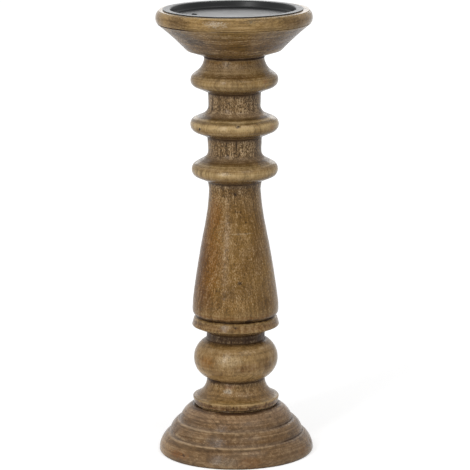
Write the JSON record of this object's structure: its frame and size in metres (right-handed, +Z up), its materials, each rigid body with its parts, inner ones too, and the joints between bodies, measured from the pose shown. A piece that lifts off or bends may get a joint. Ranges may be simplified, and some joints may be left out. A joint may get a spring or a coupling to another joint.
{
  "type": "pillar candle stand",
  "caption": "Turned wooden pillar-candle stand: stepped base, ball and collar, tapered shaft with rings, flared cup and a loose black steel drip pan.",
  "frame": {"origin": "centre of the base's underside, on the surface that the stand rests on", "axes": "+Z up along the turning axis; the picture's viewer stands on the -Y side with +X to the right"},
  "size_m": [0.1196, 0.1196, 0.343],
  "materials": {
    "base_wood": "brown stain under satin lacquer, flat grain, sanded edges",
    "stem_wood": "brown stain under satin lacquer, upright grain, sanded edges",
    "shaft_wood": "brown stain under satin lacquer, upright grain, sanded edges",
    "cup_wood": "brown stain under satin lacquer, flat grain, sanded rim",
    "dowel_wood": "plain beech",
    "black_steel": "satin black paint",
    "zinc_steel": "zinc plated"
  },
  "bodies": {
    "stand": {"base_left_board": "base_wood", "base_middle_board": "base_wood", "base_right_board": "base_wood", "lower_stem": "stem_wood", "upper_shaft": "shaft_wood", "shaft_dowel": "dowel_wood", "cup_front_board": "cup_wood", "cup_middle_board": "cup_wood", "cup_back_board": "cup_wood", "cup_screw": "zinc_steel", "base_screw": "zinc_steel", "base_washer": "zinc_steel"},
    "pan": {"candle_pan": "black_steel"}
  },
  "joints": [
    {"name": "pan_lift", "type": "slide", "parent": "stand", "child": "pan", "axis": [0, 0, 1], "range_m": [0, 0.04]}
  ]
}
